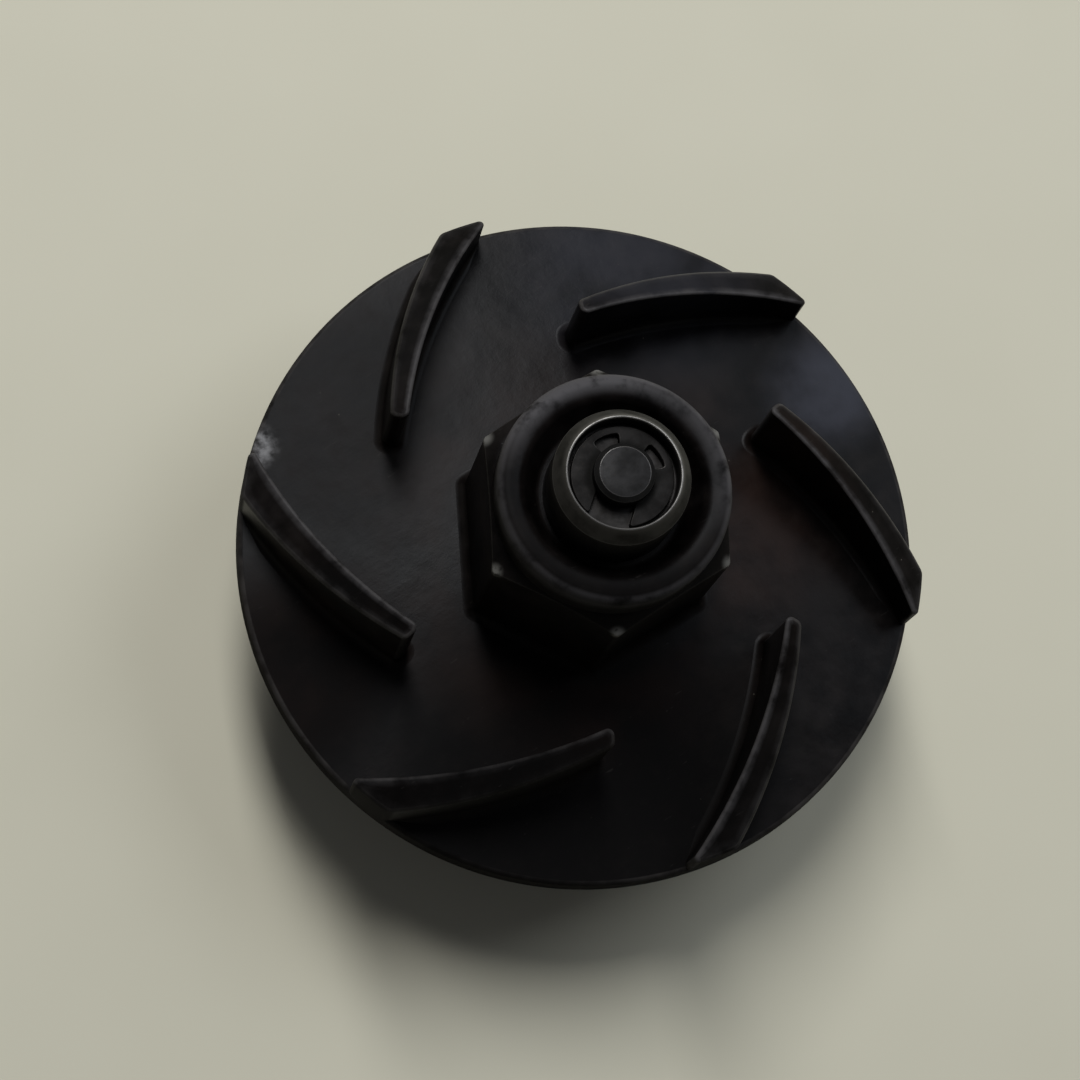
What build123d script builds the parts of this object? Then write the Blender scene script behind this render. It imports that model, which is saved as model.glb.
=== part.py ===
from build123d import *

import math
import os

# Semi-open pump impeller: a round back disc with six blades swept backwards,
# a hexagonal hub with a round collar, and a metal bush that carries the
# impeller on a short stub shaft, held at the nose by a spring clip.
#
# Millimetres. The shaft axis is Z, with z = 0 on the foot of the rear hub.
# +X runs through one corner of the hub hexagon.

# Back disc
disc_radius = 30.0
disc_thickness = 3.0
disc_rise = 1.2
rim_round = 0.5

# Blades: heights are above the disc's rim plane
blade_count = 6
blade_inner_radius = 18.0
blade_sweep_deg = 47.4
blade_bow = 1.4
blade_inner_thickness = 1.6
blade_middle_thickness = 2.4
blade_rim_arc_deg = 9.0
blade_inner_height = 10.3
blade_rim_height = 4.1
blade_edge_round = 0.35
blade_end_round = 0.6
blade_root_depth = 1.0

# Hub: heights are above the disc's rim plane
hexagon_flats = 20.0
hexagon_height = 15.9
hexagon_chamfer_deg = 30.0
collar_radius = 9.8
collar_height = 19.9
collar_lip_width = 2.2
dish_floor_depth = 2.0
dish_floor_width = 0.5

# Rear hub and its seal cavity
rear_hub_radius = 10.5
rear_hub_length = 15.0
seal_cavity_radius = 8.0
seal_cavity_depth = 8.0
foot_chamfer = 0.5

# Bush: the nose height is above the disc's rim plane
bush_radius = 5.7
bush_nose_height = 23.8
nose_chamfer_width = 0.9
nose_chamfer_height = 1.4
recess_radius = 4.6
recess_depth = 1.8

# Stub shaft, with a thinner drive end in the seal cavity, and its spring clip
shaft_radius = 2.5
shaft_proud = 0.3
shaft_shoulder_proud = 0.5
drive_end_radius = 2.0
drive_end_gap = 1.0
shaft_end_chamfer = 0.4
clip_thickness = 0.7
clip_groove_depth = 0.5
clip_groove_play = 0.05
clip_recess_gap = 0.35
clip_window_depth = 1.6
clip_window_start_deg = 22.0
clip_window_end_deg = 58.0
clip_mouth_width = 3.4
clip_direction_deg = 39.0

# Heights and radii worked out from the sizes above
rim_plane = rear_hub_length + disc_thickness
hub_plane = rim_plane + disc_rise
nose_plane = rim_plane + bush_nose_height
recess_floor = nose_plane - recess_depth
collar_top = rim_plane + collar_height
lip_radius = collar_lip_width / 2
lip_plane = collar_top - lip_radius
lip_inner_radius = collar_radius - collar_lip_width
dish_floor = lip_plane - dish_floor_depth
hexagon_top = rim_plane + hexagon_height
hexagon_corner_radius = hexagon_flats / 2 / math.cos(math.pi / 6)


def polar(radius, angle_deg):
    """Point in the XY plane at a radius and an angle from +X."""
    angle = math.radians(angle_deg)
    return Vector(radius * math.cos(angle), radius * math.sin(angle))


def bowed_middle(start, end, bow):
    """Middle point of an arc from start to end that bows away from the axis."""
    middle = (start + end) / 2
    chord = end - start
    normal = Vector(-chord.Y, chord.X).normalized()
    if normal.dot(middle) < 0:
        normal = -normal
    return middle + normal * bow


# One blade. Its outline is two arcs, closed by the inner end and by the rim,
# and its top slopes down to the rim along a cone.
hub_side_inner = polar(blade_inner_radius, 0)
hub_side_tip = polar(disc_radius, -blade_sweep_deg)
hub_side_middle = bowed_middle(hub_side_inner, hub_side_tip, blade_bow)
blade_along = (hub_side_tip - hub_side_inner).normalized()
blade_across = Vector(-blade_along.Y, blade_along.X)
back_inner = hub_side_inner + blade_across * blade_inner_thickness
back_middle = hub_side_middle + blade_across * blade_middle_thickness
back_rim = polar(disc_radius, blade_rim_arc_deg - blade_sweep_deg)
rim_middle = polar(disc_radius, blade_rim_arc_deg / 2 - blade_sweep_deg)
blade_base = rim_plane - blade_root_depth
top_slope = (blade_inner_height - blade_rim_height) / (disc_radius - blade_inner_radius)

with BuildPart() as blade:
    with BuildSketch(Plane.XY.offset(blade_base)):
        with BuildLine():
            ThreePointArc(hub_side_inner, hub_side_middle, hub_side_tip)
            ThreePointArc(hub_side_tip, rim_middle, back_rim)
            ThreePointArc(back_rim, back_middle, back_inner)
            Line(back_inner, hub_side_inner)
        make_face()
    extrude(amount=blade_root_depth + blade_inner_height)
    inner_end = blade.faces().filter_by(GeomType.PLANE).filter_by(Axis.Z, reverse=True)
    fillet(inner_end.edges().filter_by(Axis.Z), radius=blade_end_round)
    with BuildSketch(Plane.XZ):
        with BuildLine():
            Polyline(
                (0, blade_base),
                (disc_radius, blade_base),
                (disc_radius, rim_plane + blade_rim_height),
                (0, rim_plane + blade_rim_height + top_slope * disc_radius),
                close=True,
            )
        make_face()
    revolve(axis=Axis.Z, mode=Mode.INTERSECT)
    fillet(blade.faces().sort_by(Axis.Z)[-1].edges(), radius=blade_edge_round)

# Hub hexagon: a prism whose corners are turned off to a cone, like a nut's
corner_drop = (hexagon_corner_radius - collar_radius) * math.tan(math.radians(hexagon_chamfer_deg))

with BuildPart() as hub_hexagon:
    with BuildSketch(Plane.XY.offset(rear_hub_length)):
        RegularPolygon(hexagon_flats / 2, side_count=6, major_radius=False)
        Circle(bush_radius, mode=Mode.SUBTRACT)
    extrude(amount=hexagon_top - rear_hub_length)
    with BuildSketch(Plane.XZ):
        with BuildLine():
            Polyline(
                (0, rear_hub_length),
                (hexagon_corner_radius, rear_hub_length),
                (hexagon_corner_radius, hexagon_top - corner_drop),
                (collar_radius, hexagon_top),
                (0, hexagon_top),
                close=True,
            )
        make_face()
    revolve(axis=Axis.Z, mode=Mode.INTERSECT)

# Moulded body: the disc, rear hub and collar share one turned section
with BuildPart() as impeller_body:
    with BuildSketch(Plane.XZ):
        with BuildLine():
            Line((disc_radius - rim_round, rim_plane), (collar_radius, hub_plane))
            Line((collar_radius, hub_plane), (collar_radius, lip_plane))
            ThreePointArc(
                (collar_radius, lip_plane),
                (collar_radius - lip_radius, collar_top),
                (lip_inner_radius, lip_plane),
            )
            Polyline(
                (lip_inner_radius, lip_plane),
                (bush_radius + dish_floor_width, dish_floor),
                (bush_radius, dish_floor),
                (bush_radius, seal_cavity_depth),
                (seal_cavity_radius, seal_cavity_depth),
                (seal_cavity_radius, foot_chamfer),
                (seal_cavity_radius + foot_chamfer, 0),
                (rear_hub_radius - foot_chamfer, 0),
                (rear_hub_radius, foot_chamfer),
                (rear_hub_radius, rear_hub_length),
                (disc_radius - rim_round, rear_hub_length),
            )
            RadiusArc(
                (disc_radius - rim_round, rear_hub_length),
                (disc_radius, rear_hub_length + rim_round),
                -rim_round,
            )
            Line((disc_radius, rear_hub_length + rim_round), (disc_radius, rim_plane - rim_round))
            RadiusArc(
                (disc_radius, rim_plane - rim_round),
                (disc_radius - rim_round, rim_plane),
                -rim_round,
            )
        make_face()
    revolve(axis=Axis.Z)
    add(hub_hexagon.part)
    with PolarLocations(0, blade_count):
        add(blade.part)
impeller_body.part.label = "impeller_body"

# Metal bush bonded in the hub, with a recess for the clip in its nose
with BuildPart() as hub_bush:
    with BuildSketch(Plane.XZ):
        with BuildLine():
            Polyline(
                (shaft_radius, seal_cavity_depth),
                (bush_radius, seal_cavity_depth),
                (bush_radius, nose_plane - nose_chamfer_height),
                (bush_radius - nose_chamfer_width, nose_plane),
                (recess_radius, nose_plane),
                (recess_radius, recess_floor),
                (shaft_radius, recess_floor),
                close=True,
            )
        make_face()
    revolve(axis=Axis.Z)
hub_bush.part.label = "hub_bush"

# Stub shaft: a thinner drive end below a shoulder, and a groove for the clip
# that starts at the recess floor
shaft_top = nose_plane + shaft_proud
shoulder_plane = seal_cavity_depth - shaft_shoulder_proud
groove_radius = shaft_radius - clip_groove_depth
groove_top = recess_floor + clip_thickness + clip_groove_play

with BuildPart() as shaft:
    with BuildSketch(Plane.XZ):
        with BuildLine():
            Polyline(
                (0, drive_end_gap),
                (drive_end_radius - shaft_end_chamfer, drive_end_gap),
                (drive_end_radius, drive_end_gap + shaft_end_chamfer),
                (drive_end_radius, shoulder_plane),
                (shaft_radius, shoulder_plane),
                (shaft_radius, recess_floor),
                (groove_radius, recess_floor),
                (groove_radius, groove_top),
                (shaft_radius, groove_top),
                (shaft_radius, shaft_top - shaft_end_chamfer),
                (shaft_radius - shaft_end_chamfer, shaft_top),
                (0, shaft_top),
                close=True,
            )
        make_face()
    revolve(axis=Axis.Z)
shaft.part.label = "shaft"

# Spring clip: a flat ring with an open mouth, and two windows beside its back
clip_radius = recess_radius - clip_recess_gap
window_radius = groove_radius + clip_window_depth
window_middle_deg = (clip_window_start_deg + clip_window_end_deg) / 2

with BuildPart() as spring_clip:
    with BuildSketch(Plane.XY.offset(recess_floor)):
        Circle(clip_radius)
        Circle(groove_radius, mode=Mode.SUBTRACT)
        for side in (-1, 1):
            window_start = polar(window_radius, clip_direction_deg + side * clip_window_start_deg)
            window_middle = polar(window_radius, clip_direction_deg + side * window_middle_deg)
            window_end = polar(window_radius, clip_direction_deg + side * clip_window_end_deg)
            with BuildLine():
                Line((0, 0), window_start)
                ThreePointArc(window_start, window_middle, window_end)
                Line(window_end, (0, 0))
            make_face(mode=Mode.SUBTRACT)
        with Locations(Location((0, 0, 0), clip_direction_deg)):
            Rectangle(
                clip_radius,
                clip_mouth_width,
                align=(Align.MAX, Align.CENTER),
                mode=Mode.SUBTRACT,
            )
    extrude(amount=clip_thickness)
spring_clip.part.label = "spring_clip"

os.makedirs("parts", exist_ok=True)
export_step(impeller_body.part, "parts/impeller_body.step")
export_step(hub_bush.part, "parts/hub_bush.step")
export_step(shaft.part, "parts/shaft.step")
export_step(spring_clip.part, "parts/spring_clip.step")
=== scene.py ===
import math

import bmesh
import bpy
from mathutils import Matrix, Vector


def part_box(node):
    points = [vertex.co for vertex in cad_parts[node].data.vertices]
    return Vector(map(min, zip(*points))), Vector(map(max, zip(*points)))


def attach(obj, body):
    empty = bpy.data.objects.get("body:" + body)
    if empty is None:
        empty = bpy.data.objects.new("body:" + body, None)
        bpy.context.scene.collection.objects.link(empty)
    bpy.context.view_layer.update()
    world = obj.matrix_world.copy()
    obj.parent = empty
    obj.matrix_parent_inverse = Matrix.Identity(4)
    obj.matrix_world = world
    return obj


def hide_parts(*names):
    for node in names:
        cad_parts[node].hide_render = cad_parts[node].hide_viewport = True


# A black rubber pump impeller: the moulding with its back disc, six blades and
# hexagonal hub, and in it a metal bush, a stub shaft and a spring clip.
#
# Shapes are worked out in millimetres and written to the meshes in metres. Points of an
# outline are (x, y, radius of the corner there), and levels of a wall are (outset, rise).

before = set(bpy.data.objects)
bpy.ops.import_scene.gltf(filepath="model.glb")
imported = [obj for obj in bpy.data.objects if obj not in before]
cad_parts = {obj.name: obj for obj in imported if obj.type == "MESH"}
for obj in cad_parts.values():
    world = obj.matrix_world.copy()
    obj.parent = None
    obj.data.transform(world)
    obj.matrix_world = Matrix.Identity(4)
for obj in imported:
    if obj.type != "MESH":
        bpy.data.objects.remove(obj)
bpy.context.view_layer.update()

mm = 0.001


def box_mm(node):
    """Lowest and highest corner of a node, in millimetres."""
    low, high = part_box(node)
    return low / mm, high / mm


_, moulding_high = box_mm("impeller_body")
bush_low, bush_high = box_mm("hub_bush")
shaft_low, shaft_high = box_mm("shaft")
clip_low, clip_high = box_mm("spring_clip")

# Back disc. The flash is the thin line that the mould leaves round its rim.
disc_radius = moulding_high.y
rear_hub_length = 15.0
disc_thickness = 3.0
disc_rise = 1.2
rim_round = 0.5
flash_stands_out = 0.06
flash_width = 0.3
flash_above_back = 1.1

# Blades
blade_count = 6
blade_inner_radius = 18.0
blade_sweep_deg = 47.4
blade_bow = 1.4
blade_inner_thickness = 1.6
blade_middle_thickness = 2.4
blade_rim_arc_deg = 9.0
blade_inner_height = 10.3
blade_rim_height = 4.1
blade_edge_round = 0.35
blade_end_round = 0.6
blade_tip_round = 0.4
blade_back_tip_round = 1.0
blade_root_fillet = 0.8
blade_fillet_run_out = 2.0

# Hub
hexagon_flats = 20.0
hexagon_height = 15.9
hexagon_chamfer_deg = 30.0
hexagon_corner_round = 0.45
hexagon_edge_round = 0.2
hexagon_root_fillet = 0.9
collar_radius = 9.8
collar_lip_width = 2.2
collar_edge_round = 0.95
collar_lip_fall = 0.5
collar_lip_inner_round = 1.2
dish_depth = 3.1
dish_floor_width = 0.5
dish_round = 0.4

# Rear hub
rear_hub_radius = 10.5
rear_hub_fillet = 1.0
seal_cavity_radius = 8.0
seal_cavity_round = 0.4
foot_round = 0.5
bore_inside_bush = 0.05

# Bush, shaft and clip
nose_chamfer_width = 0.9
nose_chamfer_height = 1.4
nose_edge_round = 0.2
nose_rim_round = 0.1
nose_chamfer_round = 0.15
recess_radius = 4.6
shoulder_below_bush = 0.5
shaft_end_chamfer = 0.4
shaft_edge_round = 0.12
shaft_crown = 0.06
drive_end_radius = 2.0
groove_radius = 2.0
clip_radius = 4.25
clip_window_depth = 1.6
clip_window_start_deg = 22.0
clip_window_end_deg = 58.0
clip_mouth_width = 3.4
clip_direction_deg = 39.0
clip_corner_round = 0.2
clip_edge_round = 0.1

# Heights and places worked out from the sizes above and from the parts in model.glb
rim_plane = rear_hub_length + disc_thickness
hub_plane = rim_plane + disc_rise
collar_top = moulding_high.z
dish_floor = collar_top - dish_depth
hexagon_top = rim_plane + hexagon_height
hexagon_corner_radius = hexagon_flats / 2 / math.cos(math.pi / 6)
bush_radius = bush_high.x
bush_foot = bush_low.z
nose_plane = bush_high.z
recess_floor = clip_low.z
clip_top = clip_high.z
shaft_radius = shaft_high.x
shaft_foot = shaft_low.z
shaft_top = shaft_high.z

# Faces round a turned piece, and steps in the arc of a rounded corner
TURNED_STEPS = 192
ARC_STEPS = 6

# How far, in millimetres, a piece runs into the one that carries it
SINK = 0.01

# Points that become one, in millimetres, and the angle from which an edge looks sharp
MERGED_WITHIN = 0.0005
SHARP_FROM_DEG = 40

# Colour into which the floor fades
BACKGROUND = (0.49, 0.475, 0.39)


# Outlines -----------------------------------------------------------------


def polar(radius, angle_deg):
    """Point in plan at a radius and an angle from +X."""
    angle = math.radians(angle_deg)
    return Vector((radius * math.cos(angle), radius * math.sin(angle)))


def about(centre, radius, start_deg, end_deg, steps):
    """Points of an arc about a centre."""
    turn = (end_deg - start_deg) / steps
    return [centre + polar(radius, start_deg + turn * step) for step in range(steps + 1)]


def through(start, middle, end, steps):
    """Points of the arc from start through middle to end."""
    normal_a, normal_b = middle - start, end - middle
    level_a = normal_a.dot(start + middle) / 2
    level_b = normal_b.dot(middle + end) / 2
    across = normal_a.cross(normal_b)
    centre = Vector((
        (level_a * normal_b.y - level_b * normal_a.y) / across,
        (level_b * normal_a.x - level_a * normal_b.x) / across,
    ))
    spoke = start - centre
    turn = (end - centre).angle_signed(spoke)
    return [centre + Matrix.Rotation(turn * step / steps, 2) @ spoke for step in range(steps + 1)]


def sharp(points):
    """The points as corners without an arc."""
    return [(point.x, point.y, 0) for point in points]


def rounded(corners, closed=True, steps=ARC_STEPS):
    """Points along an outline of corners (x, y, radius), with each corner turned into an arc."""
    points = []
    for k, (x, y, radius) in enumerate(corners):
        corner = Vector((x, y))
        is_end = not closed and k in (0, len(corners) - 1)
        if not radius or is_end:
            points.append(corner)
            continue
        back = (Vector(corners[k - 1][:2]) - corner).normalized()
        ahead = (Vector(corners[(k + 1) % len(corners)][:2]) - corner).normalized()
        half = back.angle(ahead) / 2
        centre = corner + (back + ahead).normalized() * radius / math.sin(half)
        first = corner + back * radius / math.tan(half) - centre
        last = corner + ahead * radius / math.tan(half) - centre
        turn = math.pi - 2 * half
        for step in range(steps + 1):
            share = step / steps
            spoke = first * math.sin((1 - share) * turn) + last * math.sin(share * turn)
            points.append(centre + spoke / math.sin(turn))
    return points


def outward(outline):
    """The sideways direction out of a closed outline at each of its points."""
    following = outline[1:] + outline[:1]
    area = sum(a.cross(b) for a, b in zip(outline, following))
    side = 1 if area > 0 else -1
    directions = []
    for before, after in zip(outline[-1:] + outline[:-1], following):
        along = (after - before).normalized()
        directions.append(Vector((along.y, -along.x)) * side)
    return directions


def root_levels(fillet):
    """(outset, rise) of a hollow fillet, from its foot up to the wall.

    It starts with a skirt that is hidden inside the disc, so that the foot meets the disc flat."""
    skirt = 0.6
    angles = [math.pi / 2 * step / ARC_STEPS for step in range(ARC_STEPS + 1)]
    hidden = [(fillet + skirt, -skirt), (fillet + skirt, -3 * SINK)]
    return hidden + [(fillet * (1 - math.sin(a)), fillet * (1 - math.cos(a))) for a in angles]


def edge_levels(radius, turn_deg=90):
    """(outset, rise) of a rounded top edge, from the wall inwards, measured from the sharp edge."""
    turn = math.radians(turn_deg)
    start = -radius * math.tan(turn / 2)
    angles = [turn * step / ARC_STEPS for step in range(ARC_STEPS + 1)]
    return [(radius * (math.cos(a) - 1), start + radius * math.sin(a)) for a in angles]


def disc_surface(radius):
    """Height of the back disc's front face, a shallow cone, at a radius."""
    slope = disc_rise / (disc_radius - rim_round - collar_radius)
    return hub_plane - slope * (min(radius, disc_radius - rim_round) - collar_radius)


def blade_top(radius):
    """Height of the blades' tops, a cone, at a radius."""
    slope = (blade_inner_height - blade_rim_height) / (disc_radius - blade_inner_radius)
    return rim_plane + blade_rim_height + slope * (disc_radius - radius)


# Modelling ----------------------------------------------------------------


def loop(name, places):
    """A piece that starts as a closed loop of edges through these places."""
    bpy.ops.object.select_all(action="DESELECT")
    bpy.ops.mesh.primitive_circle_add(vertices=len(places))
    piece = bpy.context.object
    piece.name = piece.data.name = name
    put(piece, places)
    return piece


def put(piece, places):
    """Puts the last vertices of a piece in these places."""
    for vertex, place in zip(piece.data.vertices[-len(places):], places):
        vertex.co = Vector(place) * mm


def select(piece, indices):
    """Selects only these vertices of a piece, and goes on in edit mode."""
    bpy.ops.object.mode_set(mode="EDIT")
    bpy.ops.mesh.select_mode(type="VERT")
    bpy.ops.mesh.select_all(action="DESELECT")
    bpy.ops.object.mode_set(mode="OBJECT")
    for index in indices:
        piece.data.vertices[index].select = True
    bpy.ops.object.mode_set(mode="EDIT")


def turned(name, section, closed=True):
    """A piece spun about Z from a section of (radius, height) points."""
    piece = loop(name, [(radius, 0, height) for radius, height in section])
    if not closed:
        select(piece, (0, len(section) - 1))
        bpy.ops.mesh.delete(type="EDGE")
        bpy.ops.object.mode_set(mode="OBJECT")
    select(piece, range(len(section)))
    bpy.ops.mesh.spin(steps=TURNED_STEPS, angle=2 * math.pi, center=(0, 0, 0), axis=(0, 0, 1))
    bpy.ops.object.mode_set(mode="OBJECT")
    return piece


def built_up(name, rings):
    """A piece extruded from each ring of places to the next, with closed ends."""
    size = len(rings[0])
    piece = loop(name, rings[0])
    for ring in rings[1:]:
        select(piece, range(len(piece.data.vertices) - size, len(piece.data.vertices)))
        bpy.ops.mesh.extrude_region_move(TRANSFORM_OT_translate={"value": (0, 0, mm)})
        bpy.ops.object.mode_set(mode="OBJECT")
        put(piece, ring)
    for first in (0, len(piece.data.vertices) - size):
        select(piece, range(first, first + size))
        bpy.ops.mesh.edge_face_add()
        bpy.ops.mesh.quads_convert_to_tris(ngon_method="BEAUTY")
        bpy.ops.object.mode_set(mode="OBJECT")
    return piece


def mark_edges(piece):
    """Stores how sharply each point bulges ("edge") or is hollow ("nook"), per millimetre.

    The finishes wear the edges and leave dust in the nooks by these marks."""
    mesh = bmesh.new()
    mesh.from_mesh(piece.data)
    bends = []
    for vertex in mesh.verts:
        bend = sum(
            edge.calc_face_angle_signed(0) * edge.calc_length()
            for edge in vertex.link_edges
            if edge.is_manifold
        )
        area = sum(face.calc_area() for face in vertex.link_faces) / 3
        bends.append(bend / (2 * area) * mm if area else 0)
    mesh.free()
    for mark, sign in (("edge", 1), ("nook", -1)):
        values = piece.data.attributes.new(mark, "FLOAT", "POINT").data
        values.foreach_set("value", [max(0, sign * bend) for bend in bends])


def finished(piece, node, material):
    """Gives a piece smooth faces, edge marks and its finish, and lets it stand for its node."""
    bpy.ops.object.select_all(action="DESELECT")
    bpy.context.view_layer.objects.active = piece
    piece.select_set(True)
    bpy.ops.object.mode_set(mode="EDIT")
    bpy.ops.mesh.select_all(action="SELECT")
    bpy.ops.mesh.remove_doubles(threshold=MERGED_WITHIN * mm)
    bpy.ops.mesh.normals_make_consistent(inside=False)
    bpy.ops.object.mode_set(mode="OBJECT")
    mark_edges(piece)
    bpy.ops.object.shade_smooth_by_angle(angle=math.radians(SHARP_FROM_DEG))
    even = piece.modifiers.new("even_shading", "WEIGHTED_NORMAL")
    even.keep_sharp = True
    bpy.ops.object.modifier_apply(modifier=even.name)
    piece.data.materials.append(material)
    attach(piece, "root")
    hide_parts(node)


# Pieces -------------------------------------------------------------------


def disc_and_hubs():
    """Back disc, rear hub and collar, turned in one."""
    flash = rear_hub_length + flash_above_back
    bore = bush_radius - bore_inside_bush
    corners = [
        (collar_radius, hub_plane - disc_rise, 0),
        (collar_radius, collar_top, collar_edge_round),
        (collar_radius - collar_lip_width, collar_top - collar_lip_fall, collar_lip_inner_round),
        (bush_radius + dish_floor_width, dish_floor, dish_round),
        (bore, dish_floor, 0),
        (bore, bush_foot, 0),
        (seal_cavity_radius, bush_foot, seal_cavity_round),
        (seal_cavity_radius, 0, foot_round),
        (rear_hub_radius, 0, foot_round),
        (rear_hub_radius, rear_hub_length, rear_hub_fillet),
        (disc_radius, rear_hub_length, rim_round),
        (disc_radius, flash - flash_width / 2, 0),
        (disc_radius + flash_stands_out, flash, 0),
        (disc_radius, flash + flash_width / 2, 0),
        (disc_radius, rim_plane, rim_round),
        (disc_radius - rim_round, rim_plane, 0),
    ]
    rings = [*range(27, 11, -3), collar_radius - SINK]
    front = [(radius, disc_surface(radius), 0) for radius in rings]
    return turned("disc_and_hubs", rounded(corners + front))


def hub_hexagon():
    """Hexagonal hub with a hollow fillet at its foot and corners turned off like a nut's."""
    side_points = 8
    top_inside_collar = 0.1
    corners = []
    for k in range(6):
        here = polar(hexagon_corner_radius, 60 * k)
        following = polar(hexagon_corner_radius, 60 * (k + 1))
        corners.append((*here, hexagon_corner_round))
        corners += sharp(here.lerp(following, j / side_points) for j in range(1, side_points))
    outline = rounded(corners)
    sideways = outward(outline)
    slope = math.tan(math.radians(hexagon_chamfer_deg))

    def chamfer(radius):
        return hexagon_top - slope * (radius - collar_radius)

    rings = []
    for outset, rise in root_levels(hexagon_root_fillet):
        spots = [p + out * outset for p, out in zip(outline, sideways)]
        rings.append([(*spot, disc_surface(spot.length) - SINK + rise) for spot in spots])
    for outset, rise in edge_levels(hexagon_edge_round, 90 - hexagon_chamfer_deg):
        rings.append([
            (*(p + out * outset), chamfer(p.length) + rise) for p, out in zip(outline, sideways)
        ])
    chamfer_foot = [Vector(place[:2]) for place in rings[-1]]
    top_radius = collar_radius - top_inside_collar
    for share in (1 / 3, 2 / 3, 1):
        spots = [p.lerp(p.normalized() * top_radius, share) for p in chamfer_foot]
        rings.append([(*spot, chamfer(spot.length)) for spot in spots])
    return built_up("hub_hexagon", rings)


def blade_plan():
    """Outline of the blade whose inner end is on +X, and the line along its middle.

    Beside each corner the points that its rounding would overlap are left out, and the
    middle line stops short of both ends."""
    side_steps, rim_steps = 40, 8
    side_gap, rim_gap = 3, 2
    inner_stop, rim_stop = 2, 5
    inner = polar(blade_inner_radius, 0)
    tip = polar(disc_radius, -blade_sweep_deg)
    along = (tip - inner).normalized()
    across = Vector((-along.y, along.x))
    middle = (inner + tip) / 2 + across * blade_bow
    back_inner = inner + across * blade_inner_thickness
    back_middle = middle + across * blade_middle_thickness
    back_rim_deg = blade_rim_arc_deg - blade_sweep_deg
    back_rim = polar(disc_radius, back_rim_deg)
    hub_side = through(inner, middle, tip, side_steps)
    rim = about(Vector((0, 0)), disc_radius, -blade_sweep_deg, back_rim_deg, rim_steps)
    back = through(back_rim, back_middle, back_inner, side_steps)
    outline = rounded([
        (*inner, blade_end_round),
        *sharp(hub_side[side_gap:-side_gap]),
        (*tip, blade_tip_round),
        *sharp(rim[rim_gap:-rim_gap]),
        (*back_rim, blade_back_tip_round),
        *sharp(back[side_gap:-side_gap]),
        (*back_inner, blade_end_round),
    ])
    middle_line = [(a + b) / 2 for a, b in zip(hub_side, reversed(back))]
    return outline, middle_line[inner_stop:-rim_stop]


def blade():
    """One blade with a rounded top edge, and a hollow root fillet that runs out at the rim.

    Its edges carry a "rub" mark, which is full on the hub side and weaker behind."""
    rub_behind = 0.3
    outline, middle_line = blade_plan()
    sideways = outward(outline)
    levels = [(outset, rise - SINK, 0) for outset, rise in root_levels(blade_root_fillet)]
    levels += [(0, 0, share) for share in (0.25, 0.5, 0.75)]
    levels += [(outset, rise, 1) for outset, rise in edge_levels(blade_edge_round)]
    rings = []
    for outset, rise, share in levels:
        ring = []
        for point, out in zip(outline, sideways):
            from_rim = max(0, disc_radius - rim_round - point.length)
            share_left = min(1, from_rim / blade_fillet_run_out) if outset > 0 else 1
            spot = point + out * outset * share_left
            foot = disc_surface(spot.length)
            ring.append((*spot, foot + (blade_top(spot.length) - foot) * share + rise))
        rings.append(ring)
    top_ring = []
    for place in rings[-1]:
        spot = Vector(place[:2])
        nearest = min(middle_line, key=lambda point: (point - spot).length)
        spot = spot.lerp(nearest, 0.5)
        top_ring.append((*spot, blade_top(spot.length)))
    piece = built_up("blade_1", [*rings, top_ring])
    across = (middle_line[-1] - middle_line[0]).orthogonal()
    rub = [1 if out.dot(across) < 0 else rub_behind for out in sideways]
    rings_below_edge = len(rings) - ARC_STEPS
    marks = [0] * len(outline) * rings_below_edge + rub * ARC_STEPS + [0] * len(outline)
    piece.data.attributes.new("rub", "FLOAT", "POINT").data.foreach_set("value", marks)
    return piece


def further_blades(first):
    """The other blades, each a turned copy of the first with a mesh of its own."""
    copies = []
    for k in range(1, blade_count):
        bpy.ops.object.select_all(action="DESELECT")
        bpy.context.view_layer.objects.active = first
        first.select_set(True)
        bpy.ops.object.duplicate()
        copy = bpy.context.object
        copy.name = copy.data.name = f"blade_{k + 1}"
        copy.rotation_euler.z = 2 * math.pi * k / blade_count
        bpy.ops.object.transform_apply(location=True, rotation=True, scale=True)
        copies.append(copy)
    return copies


def nose_bush():
    """Metal bush with a chamfered nose and the clip's recess."""
    corners = [
        (shaft_radius, bush_foot, 0),
        (bush_radius, bush_foot, nose_edge_round),
        (bush_radius, nose_plane - nose_chamfer_height, nose_edge_round),
        (bush_radius - nose_chamfer_width, nose_plane, nose_chamfer_round),
        (recess_radius, nose_plane, nose_rim_round),
        (recess_radius, recess_floor, nose_edge_round),
        (shaft_radius, recess_floor, 0),
    ]
    return turned("nose_bush", rounded(corners))


def stub_shaft():
    """Shaft with a thinner drive end, a groove for the clip and a slightly crowned front end."""
    shoulder = bush_foot - shoulder_below_bush
    chamfer = shaft_end_chamfer
    corners = [
        (0, shaft_foot, 0),
        (drive_end_radius - chamfer, shaft_foot, shaft_edge_round),
        (drive_end_radius, shaft_foot + chamfer, shaft_edge_round),
        (drive_end_radius, shoulder, shaft_edge_round),
        (shaft_radius, shoulder, shaft_edge_round),
        (shaft_radius, recess_floor, 0),
        (groove_radius, recess_floor, 0),
        (groove_radius, clip_top, 0),
        (shaft_radius, clip_top, 0),
        (shaft_radius, shaft_top - chamfer, shaft_edge_round),
        (shaft_radius - chamfer, shaft_top - shaft_crown, shaft_edge_round),
        (shaft_radius / 2, shaft_top - shaft_crown / 4, 0),
        (0, shaft_top, 0),
    ]
    return turned("stub_shaft", rounded(corners, closed=False), closed=False)


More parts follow.
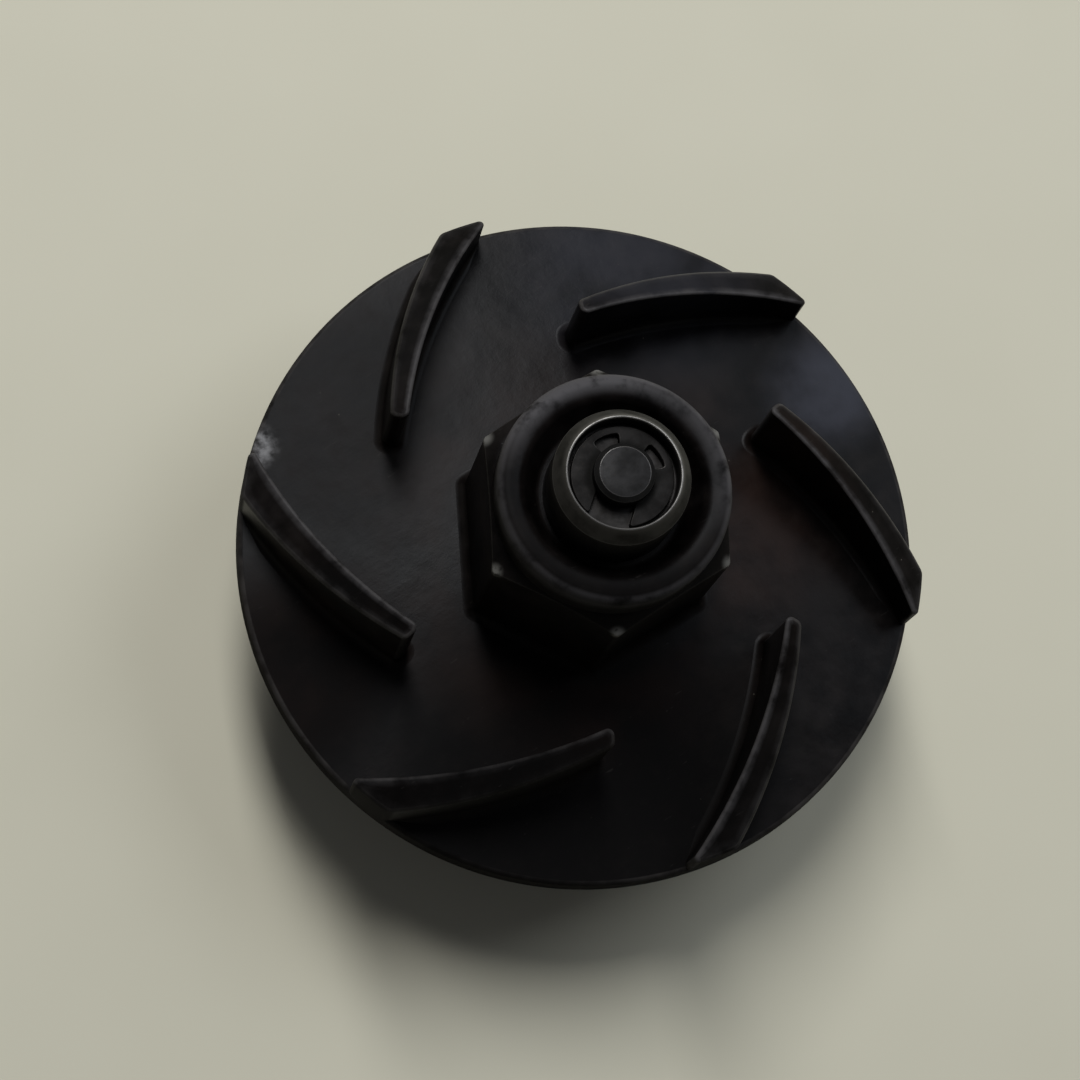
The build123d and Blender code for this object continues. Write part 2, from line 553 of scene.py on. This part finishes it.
def e_clip():
    """Spring clip: a flat ring with an open mouth and a window on each side of its back."""
    axis = Vector((0, 0))
    rim_steps, arm_steps, window_steps = 48, 5, 4
    half_mouth = clip_mouth_width / 2
    outer_deg = 180 - math.degrees(math.asin(half_mouth / clip_radius))
    inner_deg = 180 - math.degrees(math.asin(half_mouth / groove_radius))
    window_radius = groove_radius + clip_window_depth

    def stretch(radius, start_deg, end_deg, steps):
        arc = about(axis, radius, start_deg, end_deg, steps)
        ends = [(*arc[0], clip_corner_round), (*arc[-1], clip_corner_round)]
        return [ends[0], *sharp(arc[1:-1]), ends[1]]

    start, end = clip_window_start_deg, clip_window_end_deg
    outline = rounded([
        *stretch(clip_radius, -outer_deg, outer_deg, rim_steps),
        *stretch(groove_radius, inner_deg, end, arm_steps),
        *stretch(window_radius, end, start, window_steps),
        *stretch(groove_radius, start, -start, window_steps),
        *stretch(window_radius, -start, -end, window_steps),
        *stretch(groove_radius, -end, -inner_deg, arm_steps),
    ], steps=3)
    turn = Matrix.Rotation(math.radians(clip_direction_deg), 2)
    outline = [turn @ point for point in outline]
    sideways = outward(outline)
    rings = [[(*point, recess_floor) for point in outline]]
    for outset, rise in edge_levels(clip_edge_round):
        rings.append([(*(p + out * outset), clip_top + rise) for p, out in zip(outline, sideways)])
    return built_up("e_clip", rings)


# Finishes -----------------------------------------------------------------


class Wire:
    """A number or colour in a shader. Sums on it add Math nodes."""

    def __init__(self, wiring, socket):
        self.wiring = wiring
        self.socket = socket

    def __add__(self, other):
        return self.wiring.maths("ADD", self, other)

    __radd__ = __add__

    def __sub__(self, other):
        return self.wiring.maths("SUBTRACT", self, other)

    def __rsub__(self, other):
        return self.wiring.maths("SUBTRACT", other, self)

    def __mul__(self, other):
        return self.wiring.maths("MULTIPLY", self, other)

    __rmul__ = __mul__

    def __pow__(self, other):
        return self.wiring.maths("POWER", self, other)

    def or_more(self, other):
        """The larger of this and another number."""
        return self.wiring.maths("MAXIMUM", self, other)

    def within(self, low, high):
        """0 up to low and 1 from high on, with a smooth step between."""
        settings = {"interpolation_type": "SMOOTHSTEP"}
        return self.wiring.node("ShaderNodeMapRange", settings, {0: self, 1: low, 2: high})


class Wiring:
    """The nodes of a material or of the sky."""

    def __init__(self, tree):
        self.tree = tree
        tree.nodes.clear()

    def node(self, kind, settings=None, sockets=None, output=0):
        """Adds a node with its settings and its sockets' values or links, and gives one output."""
        node = self.tree.nodes.new(kind)
        for name, value in (settings or {}).items():
            setattr(node, name, value)
        for key, value in (sockets or {}).items():
            if isinstance(value, Wire):
                self.tree.links.new(value.socket, node.inputs[key])
            else:
                node.inputs[key].default_value = value
        return Wire(self, node.outputs[output])

    def maths(self, operation, first, second):
        """What a Math node makes of two numbers."""
        return self.node("ShaderNodeMath", {"operation": operation}, {0: first, 1: second})

    def mixed(self, share, below, above):
        """Colour that goes from one to the other."""
        sockets = {0: share, 6: colour(below), 7: colour(above)}
        return self.node("ShaderNodeMix", {"data_type": "RGBA"}, sockets, 2)

    def seen_directly(self):
        """1 for what the camera sees, also in a reflection, and 0 for light on the object."""
        camera_ray = self.node("ShaderNodeLightPath", output="Is Camera Ray")
        return camera_ray.or_more(self.node("ShaderNodeLightPath", output="Is Glossy Ray"))


class Finish(Wiring):
    """A material that is being made."""

    def __init__(self, name):
        self.material = bpy.data.materials.new(name)
        self.material.use_nodes = True
        super().__init__(self.material.node_tree)
        place = self.node("ShaderNodeTexCoord", output="Object")
        in_millimetres = {0: place, "Scale": 1 / mm}
        self.place = self.node("ShaderNodeVectorMath", {"operation": "SCALE"}, in_millimetres)

    def noise(self, per_mm, detail=2, roughness=0.5, stretch=(1, 1, 1), turn_deg=0):
        """Cloudy pattern from 0 to 1 with this many features to the millimetre."""
        turned_place = self.node("ShaderNodeMapping", {}, {
            "Vector": self.place,
            "Rotation": (0, 0, math.radians(turn_deg)),
            "Scale": stretch,
        })
        return self.node("ShaderNodeTexNoise", {}, {
            "Vector": turned_place,
            "Scale": per_mm,
            "Detail": detail,
            "Roughness": roughness,
        })

    def spots(self, per_mm, radius):
        """Small round spots, 1 inside each and 0 around it."""
        distance = self.node("ShaderNodeTexVoronoi", {}, {"Vector": self.place, "Scale": per_mm})
        return 1 - distance.within(radius * 0.6, radius)

    def mark(self, name):
        """A value that the modelling stored on the piece's points."""
        return self.node("ShaderNodeAttribute", {"attribute_name": name}, output="Fac")

    def axis(self, name):
        """One coordinate of the place, in millimetres."""
        return self.node("ShaderNodeSeparateXYZ", {}, {0: self.place}, name)

    def radius(self):
        """Distance from the shaft's axis, in millimetres."""
        x, y = self.axis("X"), self.axis("Y")
        return (x * x + y * y) ** 0.5

    def corners(self, count, radius, height, size):
        """Soft spots on this many corners round the shaft's axis, 1 in the middle of each."""
        angle = self.maths("ARCTAN2", self.axis("Y"), self.axis("X"))
        along = self.radius() * self.maths("PINGPONG", angle, math.pi / count)
        out, up = self.radius() - radius, self.axis("Z") - height
        distance = (along * along + out * out + up * up) ** 0.5
        return 1 - distance.within(size * 0.1, size)

    def patch(self, radius, angle_deg, size):
        """Soft round patch in plan, 1 in its middle, at a radius and an angle from +X."""
        middle = polar(radius, angle_deg)
        x, y = self.axis("X") - middle.x, self.axis("Y") - middle.y
        return 1 - ((x * x + y * y) ** 0.5).within(size * 0.3, size)

    def surface(self, height, **values):
        """A Principled shader with this height in millimetres as its bump."""
        sockets = {name.replace("_", " "): value for name, value in values.items()}
        sockets["Normal"] = self.node("ShaderNodeBump", {}, {"Height": height, "Distance": mm})
        return self.node("ShaderNodeBsdfPrincipled", {}, sockets)

    def finished(self, shader):
        """The material, with this shader as its surface."""
        output = self.tree.nodes.new("ShaderNodeOutputMaterial")
        self.tree.links.new(shader.socket, output.inputs["Surface"])
        return self.material


def colour(value):
    """A colour as a socket takes it."""
    return value if isinstance(value, Wire) else (*value, 1)


def moulded_rubber():
    """Black rubber with its wear, and with painted light and shade.

    It is satin and slightly cloudy, with a painted bluish sheen on the side towards the lamps,
    and with low-gloss patches on the far side that are also painted darker as shade. It is
    browner near the hub, dusty in its hollows, and grey from rubbing on its edges and corners.
    The rubbing is painted dimmer where the hub's shadow falls, the collar's lip is painted
    lighter towards the lamps as a highlight, and the hexagon's corners are painted bright as
    glints."""
    rubber = Finish("moulded_rubber")
    cloud = rubber.noise(0.11, 4, 0.55)
    film = rubber.noise(0.45, 5, 0.6)
    grain = rubber.noise(6.0, 3, 0.6)
    pores = rubber.noise(1.6, 3, 0.5)
    waves = rubber.noise(0.35, 1)
    streaks = rubber.noise(1.0, 3, 0.6, stretch=(0.25, 3.5, 1), turn_deg=28)
    radius = rubber.radius()
    height = rubber.axis("Z")
    patch = rubber.patch

    # Where the wear can be, and where the wear is painted dimmer as shade
    front = height.within(rim_plane - 1, rim_plane - 0.4)
    edge = rubber.mark("edge").within(0.35, 2.0)
    nook = rubber.mark("nook").within(0.15, 1.0)
    near_hub = radius.within(11.5, 13.5) * (1 - radius.within(14, 22))
    collar = radius.within(7.7, 9.0) * height.within(collar_top - 3, collar_top - 0.5)
    rim_wall = radius.within(disc_radius - 0.4, disc_radius - 0.1)
    # Painted shade: the rubbed edges and blade tops are dimmed on the side away from the lamps,
    # where the hub's shadow falls
    dimmed_by_painted_shade = 1 - 0.8 * patch(26, -140, 18)

    # Grey from rubbing: the blades' tops, all edges, the collar's lip and the hexagon's corners.
    #     The lip is also painted lighter towards the lamps as a highlight, and the corners are
    #     painted bright as glints.
    blade_rub = rubber.mark("rub") * (0.3 + film).within(0.55, 1.0)
    blade_rub = blade_rub * dimmed_by_painted_shade * (1 - 0.4 * patch(26, 62, 13))
    edge_rub = edge * (0.35 + film).within(0.55, 1.05)
    edge_rub = edge_rub * (0.15 + 0.85 * radius.within(13, 16)) * dimmed_by_painted_shade
    # Painted highlight: besides the rubbing ring at its outer edge, the lip is painted lighter on
    # the sides towards the lamps
    collar_rub_and_highlight = 0.45 * radius.within(9.1, 9.5) + patch(9, 78, 10) + 0.5 * patch(10, -8, 9)
    collar_rub_and_highlight = collar * collar_rub_and_highlight * film.within(0.25, 0.55)
    # Painted highlight: the hexagon's corners are painted bright, partly as rubbing and partly as
    # the glints on them
    corner_rub_and_glint = rubber.corners(6, hexagon_corner_radius - 0.2, hexagon_top - 0.9, 0.9)
    corner_rub_and_glint = corner_rub_and_glint * pores.within(0.25, 0.5)

    # Tints, dust and marks, with a painted sheen and painted shade
    brown = near_hub * 0.35 + patch(17, -25, 9) * 0.6 + patch(28, 168, 11) * 0.25
    brown = brown * cloud.within(0.25, 0.65)
    # Painted sheen: a bluish reflection painted on the front of the disc, on the side towards the
    # lamps
    painted_sheen = front * (patch(27, 0, 7) + patch(27, 45, 15) * 0.45) * cloud.within(0.2, 0.6)
    dusty = film.within(0.5, 0.78) * 0.4 + nook * 0.4
    scratch = streaks.within(0.66, 0.72) * pores.within(0.5, 0.6)
    speck = rubber.spots(0.55, 0.04) * film.within(0.5, 0.62)
    scuff = front * patch(29.8, 130.5, 2.6) * (0.5 * pores + 0.5 * film).within(0.38, 0.68)
    dull = patch(26, 118, 19)
    # Painted shade: these low-gloss patches, on the side of the disc away from the lamps, also
    # darken its colour there, where the hub and blades shade it
    matt_and_painted_shade = patch(29, 174, 14).or_more(patch(22, -125, 24))
    mottle = (0.6 * cloud + 0.4 * film).within(0.35, 0.65) * (1 - 0.85 * matt_and_painted_shade)

    base = rubber.mixed(mottle, (0.0012, 0.0009, 0.0009), (0.0066, 0.0054, 0.0052))
    for share, tint in (
        (brown * 0.8, (0.0200, 0.0105, 0.0080)),
        # painted sheen
        (painted_sheen, (0.0300, 0.0318, 0.0420)),
        (dusty * 0.25, (0.020, 0.018, 0.017)),
        (scratch * 0.25, (0.040, 0.037, 0.035)),
        # rubbing and painted highlight
        (collar_rub_and_highlight, (0.062, 0.060, 0.064)),
        (edge_rub * 0.8, (0.046, 0.043, 0.042)),
        (blade_rub * 0.8, (0.050, 0.048, 0.050)),
        # rubbing and painted glints
        (corner_rub_and_glint * 0.8, (0.140, 0.138, 0.130)),
        (speck * 0.6, (0.13, 0.12, 0.10)),
        (scuff * 0.75, (0.26, 0.26, 0.27)),
    ):
        base = rubber.mixed(share, base, tint)
    roughness = 0.28 + 0.10 * film + 0.08 * dusty + 0.25 * collar + 0.12 * dull
    surface = rubber.surface(
        waves * 0.05 + pores * 0.012 + streaks * 0.004 + grain * 0.006,
        Base_Color=base,
        Roughness=roughness + 0.4 * rim_wall + 0.4 * matt_and_painted_shade,
        Specular_IOR_Level=0.07,
        Specular_Tint=(0.92, 0.95, 1.0, 1.0),
    )
    return rubber.finished(surface)


def worn_steel(name, dark, bright, edge_bright, polished_radius=0, painted_shade_radius=0):
    """Turned steel, dull and dark, with fine turning lines and edges that rubbing makes bright.

    The rubbing is painted stronger on the side towards the lamps, as a highlight. Wear can also
    polish a band outside a radius, and painted shade, dark and dull, can lie within one, as the
    shadow that the shaft's end casts. A radius of 0 leaves them out."""
    steel = Finish(name)
    cloud = steel.noise(0.5, 4, 0.6)
    fine = steel.noise(5.0, 3, 0.6)
    radius = steel.radius()
    lines = steel.node("ShaderNodeTexNoise", {"noise_dimensions": "1D"}, {
        "W": radius + 0.7 * steel.axis("Z"),
        "Scale": 14.0,
        "Detail": 2.0,
    })
    edge = steel.mark("edge").within(1.0, 4.5)
    if polished_radius:
        band = radius.within(polished_radius - 0.1, polished_radius)
        band = band * (1 - radius.within(polished_radius + 0.1, polished_radius + 0.7))
        band = band * steel.axis("Z").within(nose_plane - 0.7, nose_plane - 0.2)
        edge = edge.or_more(0.45 * band)
    # Painted highlight: the rubbing is strongest on the side towards the lamps and weakest on the
    # far side
    rub_and_painted_highlight = edge * (0.35 + cloud).within(0.45, 1.0) * (0.25 + 0.75 * steel.patch(4.5, 35, 10.5))
    tarnish = cloud.within(0.35, 0.7)
    # Painted shade: dark and dull within the radius, standing for the shadow that the shaft's end
    # casts round itself
    painted_pin_shade = 1 - radius.within(painted_shade_radius - 0.6, painted_shade_radius)
    base = steel.mixed(tarnish, bright, dark)
    base = steel.mixed(fine.within(0.6, 0.75) * 0.3, base, (0.022, 0.016, 0.012))
    base = steel.mixed(rub_and_painted_highlight, base, edge_bright)
    base = steel.mixed(painted_pin_shade, base, (0.003, 0.0028, 0.0026))
    surface = steel.surface(
        lines * 0.004 + fine * 0.004,
        Base_Color=base,
        Metallic=(0.55 + 0.4 * rub_and_painted_highlight) * (1 - painted_pin_shade),
        Roughness=0.42 + 0.15 * tarnish - 0.18 * rub_and_painted_highlight + 0.35 * painted_pin_shade,
        Specular_IOR_Level=0.14,
    )
    return steel.finished(surface)


def pale_floor():
    """Plain pale surface with the faintest mottling, which fades into the background far away."""
    fades_from, fades_to = 200, 700
    floor = Finish("pale_floor")
    mottle = floor.noise(0.05, 2)
    tint = floor.mixed(mottle, (0.530, 0.515, 0.417), (0.560, 0.545, 0.447))
    near = floor.node("ShaderNodeBsdfPrincipled", {}, {"Base Color": tint, "Roughness": 0.75})
    far = floor.node("ShaderNodeEmission", {}, {"Color": (*BACKGROUND, 1)})
    faded = floor.radius().within(fades_from, fades_to) * floor.seen_directly()
    return floor.finished(floor.node("ShaderNodeMixShader", {}, {0: faded, 1: near, 2: far}))


# Stage, light and camera --------------------------------------------------


def make_floor(material):
    """Floor that the part stands on, three metres square."""
    bpy.ops.object.select_all(action="DESELECT")
    bpy.ops.mesh.primitive_plane_add(size=3.0)
    floor = bpy.context.object
    floor.name = floor.data.name = "floor"
    floor.data.materials.append(material)


def aimed(item, position, target, up):
    """Puts a lamp or the camera in its place, looking at a target."""
    back = (position - target).normalized()
    right = up.cross(back).normalized()
    over = back.cross(right)
    turn = Matrix((right, over, back)).transposed().to_4x4()
    item.matrix_world = Matrix.Translation(position) @ turn


def direction(azimuth_deg, elevation_deg):
    """Unit vector towards an azimuth from +X and an elevation above the floor."""
    level = polar(math.cos(math.radians(elevation_deg)), azimuth_deg)
    return Vector((level.x, level.y, math.sin(math.radians(elevation_deg))))


def softbox(name, azimuth_deg, elevation_deg, distance, width, height, light_share, tint):
    """Lamp that gives the floor this share of a plain level of light. Its sizes are in metres."""
    lamp = bpy.data.lights.new(name, "AREA")
    lamp.shape = "RECTANGLE"
    lamp.size, lamp.size_y = width, height
    lamp.color = tint
    lamp.energy = light_share * math.pi**2 * distance**2 / math.sin(math.radians(elevation_deg))
    item = bpy.data.objects.new(name, lamp)
    bpy.context.scene.collection.objects.link(item)
    target = Vector((0, 0, rim_plane * mm))
    position = target + direction(azimuth_deg, elevation_deg) * distance
    aimed(item, position, target, Vector((0, 0, 1)))


def studio_sky(strength, overhead):
    """Weak even light from all round. The background is pale and darkens overhead."""
    world = bpy.data.worlds.new("studio_sky")
    world.use_nodes = True
    bpy.context.scene.world = world
    sky = Wiring(world.node_tree)
    upwards = sky.node("ShaderNodeTexCoord", output="Generated")
    height = sky.node("ShaderNodeSeparateXYZ", {}, {0: upwards}, "Z")
    background = sky.mixed(height.within(0.1, 0.7), BACKGROUND, overhead)
    light = sky.mixed(height.within(0.0, 0.8), strength, overhead)
    shown = sky.mixed(sky.seen_directly(), light, background)
    shader = sky.node("ShaderNodeBackground", {}, {"Color": shown})
    output = sky.tree.nodes.new("ShaderNodeOutputWorld")
    sky.tree.links.new(shader.socket, output.inputs["Surface"])


def make_camera():
    """Camera above the nose and slightly to one side."""
    picture_top_deg = 56.0
    lens = bpy.data.cameras.new("camera")
    lens.lens = 96.9
    lens.sensor_width = 36.0
    lens.clip_start = 0.01
    camera = bpy.data.objects.new("camera", lens)
    bpy.context.scene.collection.objects.link(camera)
    position = Vector((-67.3, -31.7, 262.9)) * mm
    target = Vector((-2.7, 2.3, rim_plane)) * mm
    aimed(camera, position, target, polar(1, picture_top_deg).to_3d())
    bpy.context.scene.camera = camera


# The scene ----------------------------------------------------------------

make_camera()

rubber = moulded_rubber()
first_blade = blade()
for piece in [disc_and_hubs(), hub_hexagon(), first_blade, *further_blades(first_blade)]:
    finished(piece, "impeller_body", rubber)

bush_steel = worn_steel(
    "bush_steel",
    dark=(0.007, 0.0065, 0.0062),
    bright=(0.020, 0.019, 0.019),
    edge_bright=(0.18, 0.176, 0.172),
    polished_radius=recess_radius,
)
shaft_steel = worn_steel(
    "shaft_steel",
    dark=(0.006, 0.006, 0.0063),
    bright=(0.013, 0.013, 0.0138),
    edge_bright=(0.08, 0.078, 0.078),
)
# Painted shade: the clip is darkened round the shaft's end, as its shadow
clip_steel = worn_steel(
    "clip_steel",
    dark=(0.0025, 0.0022, 0.0022),
    bright=(0.006, 0.0056, 0.0056),
    edge_bright=(0.035, 0.033, 0.032),
    painted_shade_radius=3.3,
)
finished(nose_bush(), "hub_bush", bush_steel)
finished(stub_shaft(), "shaft", shaft_steel)
finished(e_clip(), "spring_clip", clip_steel)

make_floor(pale_floor())
softbox(
    "tall_softbox",
    azimuth_deg=70,
    elevation_deg=60,
    distance=0.70,
    width=0.14,
    height=0.46,
    light_share=0.72,
    tint=(1.0, 0.99, 0.97),
)
softbox(
    "side_softbox",
    azimuth_deg=0,
    elevation_deg=50,
    distance=0.75,
    width=0.42,
    height=0.42,
    light_share=0.23,
    tint=(0.90, 0.95, 1.0),
)
studio_sky(strength=(0.07, 0.07, 0.075), overhead=(0.07, 0.072, 0.078))
bpy.context.scene.view_settings.view_transform = "Standard"
